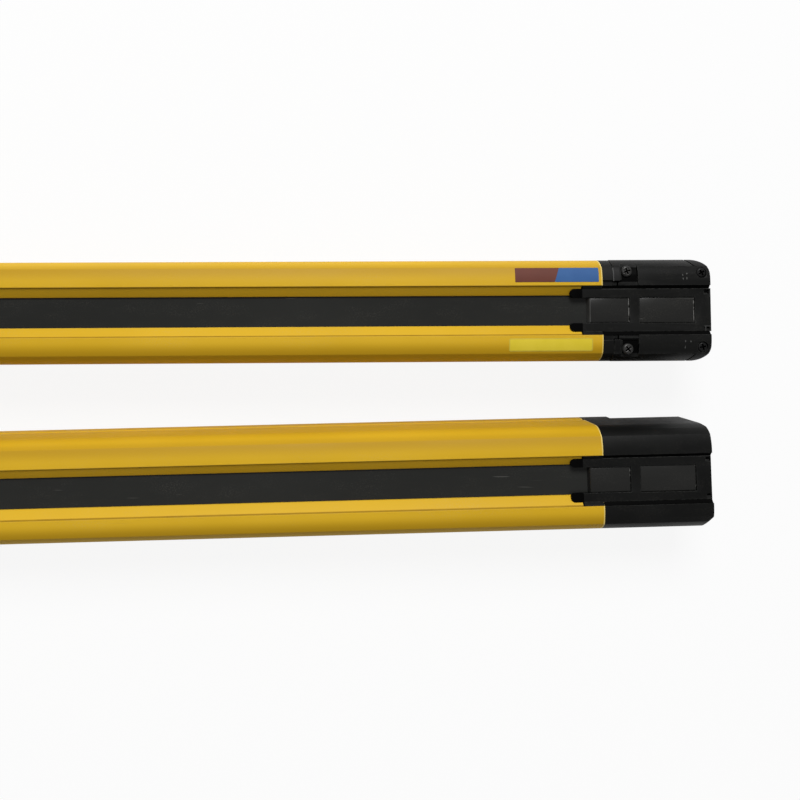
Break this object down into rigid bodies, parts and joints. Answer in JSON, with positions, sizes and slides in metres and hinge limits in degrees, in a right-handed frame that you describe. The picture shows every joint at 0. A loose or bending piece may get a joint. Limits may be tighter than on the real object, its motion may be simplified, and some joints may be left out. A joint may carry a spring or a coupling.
{
  "type": "safety light curtain",
  "caption": "Pair of safety light curtain bars, receiver and transmitter, with yellow housings, recessed dark windows and black end cases.",
  "frame": {"origin": "centre of the pair's footprint, on the plane of the back faces", "axes": "+X along the receiver bar towards its socket end, +Y from the transmitter towards the receiver, +Z out of the front windows"},
  "size_m": [0.4813, 0.0877, 0.027],
  "materials": {
    "yellow_housing": "yellow powder coat on extruded aluminium",
    "black_moulding": "satin black glass-filled nylon",
    "smoked_window": "smoked polycarbonate, scratched",
    "smoked_pane": "smoked polycarbonate",
    "clear_lens": "clear acrylic",
    "inner_moulding": "matt black",
    "board": "green board",
    "chips": "moulded chips",
    "socket": "ivory nylon",
    "seal": "black rubber",
    "screw": "black plated steel"
  },
  "bodies": {
    "root": {"receiver_housing": "yellow_housing", "receiver_front_window": "smoked_window", "receiver_window_seals": "seal", "receiver_lens_strip": "clear_lens", "receiver_optics_holder": "inner_moulding", "receiver_circuit_board": "board", "receiver_light_sensors": "chips", "receiver_cable_socket": "socket", "receiver_socket_end_plate": "black_moulding", "receiver_left_side_cover": "black_moulding", "receiver_right_side_cover": "black_moulding", "receiver_cover_screws": "screw", "receiver_corner_screws": "screw", "receiver_case_screws": "screw", "receiver_socket_end_case": "black_moulding", "receiver_socket_end_gasket": "seal", "receiver_socket_end_centre_cover": "black_moulding", "receiver_socket_end_inner_pane": "smoked_pane", "receiver_socket_end_outer_pane": "smoked_pane", "receiver_plain_end_case": "black_moulding", "receiver_plain_end_gasket": "seal", "receiver_plain_end_centre_cover": "black_moulding", "receiver_plain_end_inner_pane": "smoked_pane", "receiver_plain_end_outer_pane": "smoked_pane", "transmitter_housing": "yellow_housing", "transmitter_front_window": "smoked_window", "transmitter_window_seals": "seal", "transmitter_lens_strip": "clear_lens", "transmitter_optics_holder": "inner_moulding", "transmitter_circuit_board": "board", "transmitter_light_emitters": "chips", "transmitter_cable_socket": "socket", "transmitter_socket_end_plate": "black_moulding", "transmitter_left_side_cover": "black_moulding", "transmitter_right_side_cover": "black_moulding", "transmitter_cover_screws": "screw", "transmitter_corner_screws": "screw", "transmitter_case_screws": "screw", "transmitter_socket_end_case": "black_moulding", "transmitter_socket_end_gasket": "seal", "transmitter_socket_end_centre_cover": "black_moulding", "transmitter_socket_end_inner_pane": "smoked_pane", "transmitter_socket_end_outer_pane": "smoked_pane", "transmitter_plain_end_case": "black_moulding", "transmitter_plain_end_gasket": "seal", "transmitter_plain_end_centre_cover": "black_moulding", "transmitter_plain_end_inner_pane": "smoked_pane", "transmitter_plain_end_outer_pane": "smoked_pane"}
  },
  "joints": []
}
